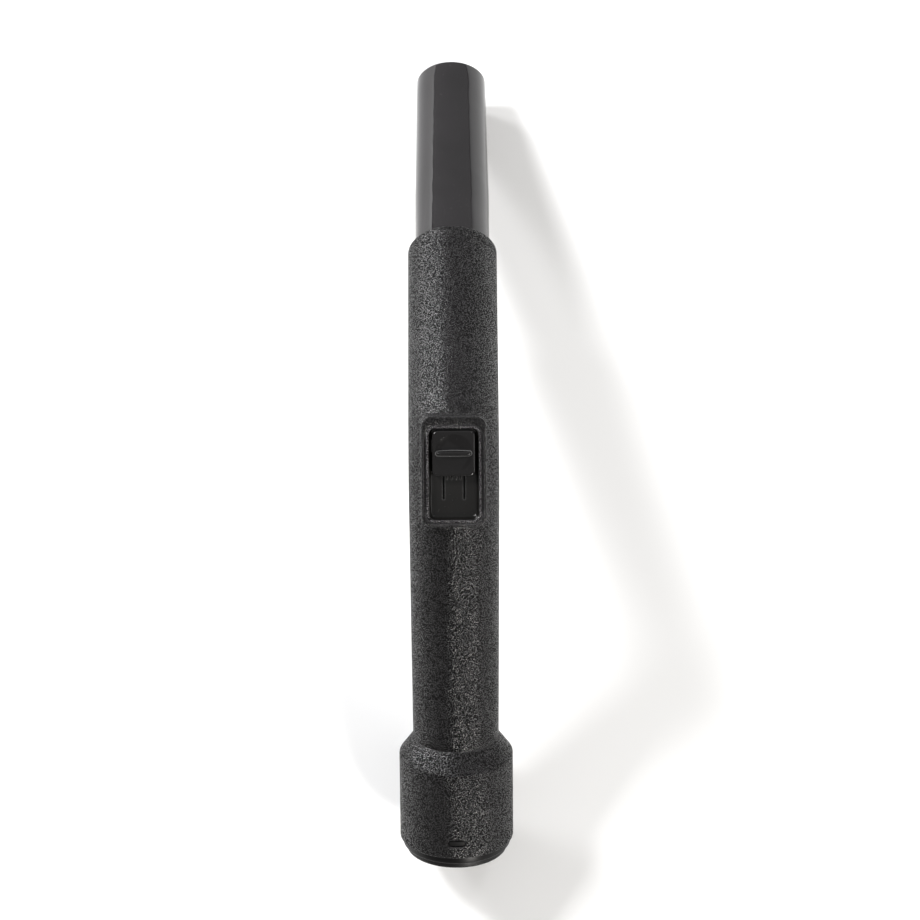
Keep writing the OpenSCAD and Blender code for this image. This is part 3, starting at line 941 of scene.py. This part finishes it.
def tray():
    """Dished insert: seat for the bead, sloping walls, floor with two rail slots and the air port."""
    skin = Skin()
    full_w, full_len = OPENING_W - 2 * TRAY_GAP, OPENING_LEN - 2 * TRAY_GAP
    corner = OPENING_CORNER - TRAY_GAP
    wall = 0.7
    chamber = rounded_loop(CHAMBER_W, CHAMBER_LEN, 0.8, FLOOR_Y)
    skirt = rounded_loop(SKIRT_W, SKIRT_LEN, 1.0, OPENING_Y)
    outside = rounded_loop(full_w, full_len, corner, OPENING_Y)
    top = rounded_loop(full_w - 2 * wall, full_len - 2 * wall, corner - wall + 0.3, OPENING_Y)
    floor = rounded_loop(FLOOR_W, FLOOR_LEN, FLOOR_CORNER, FLOOR_Y)

    rings = [lifted(chamber, FLOOR_BOTTOM), lifted(chamber, SKIRT_LOW), lifted(skirt, SKIRT_LOW)]
    rings.append(lifted(skirt, LEDGE_Z + SEAT_GAP))
    rings.append(lifted(outside, LEDGE_Z + SEAT_GAP))
    rings.append(lifted(outside, TRAY_SEAT))
    slope = ((0.0, 21.2), (0.04, 21.1), (0.3, 20.3), (0.5, 19.8), (0.7, 19.42), (0.87, 19.2))
    for share, z in slope:
        rings.append(lifted(between(top, floor, share), z))
    rings.append(lifted(floor, FLOOR_TOP))
    made = skin.loft(rings)

    low, high = (-FLOOR_W / 2, FLOOR_Y - FLOOR_LEN / 2), (FLOOR_W / 2, FLOOR_Y + FLOOR_LEN / 2)
    for outline, outline_ids, z, grow in (
        (floor, made[-1], FLOOR_TOP, SLOT_EDGE),
        (chamber, made[0], FLOOR_BOTTOM, 0),
    ):
        loops = [outline] + openings(grow)
        loose = loose_points(low, high, (12, 24), loops, 0.6)
        skin.fill(loops, loose, lambda p: (p[0], p[1], z), outline_ids)
    for wide, crest, lip, small in zip(*[openings(SLOT_EDGE * share) for share in (1, 0.6, 0.3, 0)]):
        skin.loft([
            lifted(wide, FLOOR_TOP),
            lifted(crest, FLOOR_TOP + LIP_H),
            lifted(lip, FLOOR_TOP + LIP_H),
            lifted(small, FLOOR_TOP),
            lifted(small, FLOOR_BOTTOM),
        ])
    for i in range(RIB_COUNT):
        floor_rib(skin, (i - (RIB_COUNT - 1) / 2) * RIB_PITCH)
    return made_object("regulator_tray_skin", skin, AT_REGULATOR, TRAY_GLOSS, "handle",
                       ["regulator_tray"])


def floor_rib(skin, x):
    """Small rib on the tray's floor, under the thumb slide."""
    rings = []
    for z, grow in ((FLOOR_TOP - 0.1, 0.1), (FLOOR_TOP + 0.1, 0.0), (FLOOR_TOP + 0.17, -0.1)):
        size = (RIB_LEN + 2 * grow, RIB_W + 2 * grow)
        rings.append(lifted(obround_loop(*size, x, RIB_Y, upright=True, arc=5, straight=3), z))
    made = skin.loft(rings)
    skin.cap(made[0], made[-1])


def openings(grow):
    """Loops of the tray floor's two rail slots and its air port, grown by a distance."""
    port = obround_loop(PORT_LEN + 2 * grow, PORT_W + 2 * grow, 0, PORT_Y, upright=True)
    counts = dict(corner=4, across=2, along=16)
    slot = rounded_loop(RAIL_W + 2 * grow, RAIL_LEN + 2 * grow, RAIL_CORNER + grow, FLOOR_Y, **counts)
    return [[(px + x, py) for px, py in slot] for x in (-RAIL_X, RAIL_X)] + [port]


def bead():
    """Grained bead round the tray, between the frame's groove and the recess; its grain is a painted highlight."""
    skin = Skin()
    foot = TRAY_SEAT + SEAT_GAP
    rings = [lifted(opening_loop(BEAD_IN), foot), lifted(opening_loop(BEAD_OUT), foot)]
    for side, inward, arc in ((BEAD_OUT, -1, quarter(4)), (BEAD_IN, 1, quarter(4)[::-1])):
        for a in arc:
            loop = opening_loop(side + inward * BEAD_R * (1 - math.cos(a)))
            rings.append(lifted(loop, BEAD_TOP - BEAD_R + BEAD_R * math.sin(a)))
    made = skin.loft(rings)
    skin.band(made[-1], made[0])
    return made_object("regulator_bead", skin, AT_REGULATOR, HIGHLIT_BEAD_GRAIN, "handle")


def knob():
    """Thumb slide: a rounded square with a round dish and a fin across it."""
    skin = Skin()
    dish_ball = (DISH_R ** 2 + DISH_DEPTH ** 2) / (2 * DISH_DEPTH)
    counts = dict(corner=8, across=10, along=10)

    def outline(grow, z):
        loop = rounded_loop(KNOB_W + 2 * grow, KNOB_LEN + 2 * grow, KNOB_CORNER + grow, KNOB_Y, **counts)
        return lifted(loop, z)

    rings = [outline(-KNOB_HOLLOW, KNOB_BOTTOM + KNOB_HOLLOW), outline(-KNOB_HOLLOW, KNOB_BOTTOM)]
    rings.append(outline(-0.2, KNOB_BOTTOM))
    rings.append(outline(0.0, KNOB_BOTTOM + 0.2))
    for a in quarter(5):
        inset = KNOB_SLOPE + KNOB_EDGE * (1 - math.cos(a))
        rings.append(outline(-inset, KNOB_TOP - KNOB_EDGE + KNOB_EDGE * math.sin(a)))
    made = skin.loft(rings)
    skin.cap(made[0])

    outer = [(p.x, p.y) for p in rings[-1]]
    dish_edge = circle_loop(DISH_R + DISH_LIP, 72, KNOB_Y)
    ids = skin.fill([outer, dish_edge], [], lambda p: (p[0], p[1], KNOB_TOP), made[-1])
    last = ids[len(outer):]
    for r in (DISH_R, 7.5, 7.0, 6.4, 5.4, 4.3, 3.2, 2.1, 1.0):
        depth = DISH_DEPTH - (dish_ball - math.sqrt(dish_ball ** 2 - r ** 2))
        ring = skin.add(lifted(circle_loop(r, 72, KNOB_Y), KNOB_TOP - depth - DISH_STEP))
        skin.band(last, ring)
        last = ring
    skin.cap(last)
    thumb_fin(skin)
    for side in (-1, 1):
        knob_leg(skin, side * RAIL_X)
    return made_object("slide_knob_skin", skin, AT_REGULATOR, KNOB_GLOSS, "regulator_slide",
                       ["slide_knob"])


def thumb_fin(skin):
    """Fin across the dish, a blade with a rounded top."""
    sections = (
        (20.9, 2.6, 0.0),
        (21.7, 2.2, 0.1),
        (22.5, 1.9, 0.3),
        (23.0, 1.7, 0.5),
        (23.3, 1.4, 0.8),
        (23.5, 1.0, 1.2),
        (23.6, 0.5, 1.7),
    )
    rings = []
    for z, thick, shorter in sections:
        loop = obround_loop(FIN_LEN - 2 * shorter, thick, 0, KNOB_Y, straight=10, arc=8)
        rings.append(lifted(loop, z))
    made = skin.loft(rings)
    skin.cap(made[0], made[-1])


def knob_leg(skin, x):
    """Leg through the tray's rail slot, down to the shutter."""
    top = KNOB_BOTTOM + KNOB_HOLLOW + 0.1
    rings = []
    for z, grow in ((top, 0.0), (LEG_END + LEG_POINT, 0.0), (LEG_END, -LEG_W / 3)):
        size = (LEG_W + 2 * grow, LEG_LEN + 2 * grow)
        loop = rounded_loop(*size, 0.05, KNOB_Y, corner=3, across=2, along=4)
        rings.append([Vector((p[0] + x, p[1], z)) for p in loop])
    made = skin.loft(rings)
    skin.cap(made[0], made[-1])


tray()
bead()
knob()


# ---------------------------------------------------------------- CAD nodes that stay as they are

for node, material in {
    "duct_elbow": DUCT_PLASTIC,
    "slide_shutter": DUCT_PLASTIC,
    "upper_duct_seal": RUBBER,
    "lower_duct_seal": RUBBER,
    "swivel_seal": RUBBER,
    "regulator_gasket": RUBBER,
    "swivel_washer": WHITE_POM,
    "detent_spring": STEEL,
    "cuff_circlip": STEEL,
}.items():
    kept = frame["nodes"][node]
    for i in range(len(kept.material_slots)):
        kept.material_slots[i].material = material


# ---------------------------------------------------------------- floor, light and camera

FLOOR_REACH = 3.0
FLOOR_GAP = 0.0003
CAMERA_TILT = math.radians(6.32)
CAMERA_ROLL = math.radians(0.438)
CAMERA_DISTANCE = 2.5983
CAMERA_RIGHT, CAMERA_UP = 0.00263, -0.00191
CAMERA_LENS = 241.5
WORLD_LIGHT = 0.22


def lowest(centre, axis, r):
    """Lowest point of a round end, in metres."""
    down = (-UP + axis * UP.dot(axis)).normalized()
    return (centre + down * r) * TO_METRES


def stage():
    """Pale floor that touches both ends of the arch."""
    wand_foot = lowest(tip, to_wand, SPIGOT_TIP_R)
    hose_foot = lowest(mouth, to_hose, FLANGE_R)
    along = (wand_foot - hose_foot).normalized()
    normal = ACROSS.cross(along)
    mesh = bpy.data.meshes.new("floor")
    middle = (wand_foot + hose_foot) / 2
    signs = ((-1, -1), (1, -1), (1, 1), (-1, 1))
    corners = [middle + FLOOR_REACH * (x * ACROSS + y * along) for x, y in signs]
    mesh.from_pydata([tuple(c - normal * FLOOR_GAP) for c in corners], [], [(0, 1, 2, 3)])
    n = Nodes("floor_paint")
    cloud = n.noise(3, detail=3)
    tone = n.mix(n.patches(cloud), (0.93, 0.93, 0.935), (0.95, 0.95, 0.95))
    grain = n.bump(n.noise(400), 0.05, 0.0001)
    mesh.materials.append(n.surface(tone, 0.85, grain, Specular_IOR_Level=0.1))
    floor = bpy.data.objects.new("floor", mesh)
    bpy.context.scene.collection.objects.link(floor)


def area_light(name, towards, distance, size, watts, tint=(1, 1, 1)):
    """Soft light in a direction from the bend, aimed at it."""
    data = bpy.data.lights.new(name, "AREA")
    data.shape = "RECTANGLE"
    data.size, data.size_y = size
    data.energy = watts
    data.color = tint
    light = bpy.data.objects.new(name, data)
    direction = Vector(towards).normalized()
    light.location = bend_top * TO_METRES + direction * distance
    light.rotation_mode = "QUATERNION"
    light.rotation_quaternion = (-direction).to_track_quat("-Z", "Y")
    bpy.context.scene.collection.objects.link(light)


def lights():
    """Two lights from the left of the wand, one from the right of the hose, and weaker ones all round."""
    area_light("key", (-0.85, 0.7, 0.95), 1.8, (0.4, 0.4), 33)
    area_light("low", (-0.72, 0.62, 0.2), 1.8, (0.34, 0.28), 20)
    area_light("side", (0.46, -0.75, 0.48), 1.8, (0.34, 0.34), 22, (1.0, 0.97, 0.92))
    area_light("strip", (0.8, -0.1, 0.5), 1.8, (1.2, 0.3), 6)
    area_light("glint", (0.44, 0.53, 0.72), 1.8, (0.3, 0.3), 3)
    area_light("back", (0.14, 1.0, 0.24), 2.0, (5.0, 1.1), 7)
    area_light("over", (0.08, -0.05, 0.95), 3.0, (3.4, 3.4), 3.5)
    world = bpy.data.worlds.new("studio")
    world.use_nodes = True
    world.node_tree.nodes["Background"].inputs["Color"].default_value = (1, 1, 1, 1)
    world.node_tree.nodes["Background"].inputs["Strength"].default_value = WORLD_LIGHT
    bpy.context.scene.world = world


def camera():
    """Camera over the bend, at the photograph's viewing angle."""
    upward = Vector((0, math.cos(CAMERA_TILT), math.sin(CAMERA_TILT)))
    back = Vector((0, -math.sin(CAMERA_TILT), math.cos(CAMERA_TILT)))
    right = math.cos(CAMERA_ROLL) * ACROSS - math.sin(CAMERA_ROLL) * upward
    above = math.sin(CAMERA_ROLL) * ACROSS + math.cos(CAMERA_ROLL) * upward
    data = bpy.data.cameras.new("camera")
    data.lens = CAMERA_LENS
    data.sensor_width = 36
    data.clip_start, data.clip_end = 0.1, 50
    cam = bpy.data.objects.new("camera", data)
    turn = Matrix((right, above, back)).transposed().to_4x4()
    turn.translation = (
        bend_top * TO_METRES + right * CAMERA_RIGHT + above * CAMERA_UP + back * CAMERA_DISTANCE
    )
    cam.matrix_world = turn
    bpy.context.scene.collection.objects.link(cam)
    bpy.context.scene.camera = cam


stage()
lights()
camera()
bpy.context.scene.view_settings.view_transform = "Standard"
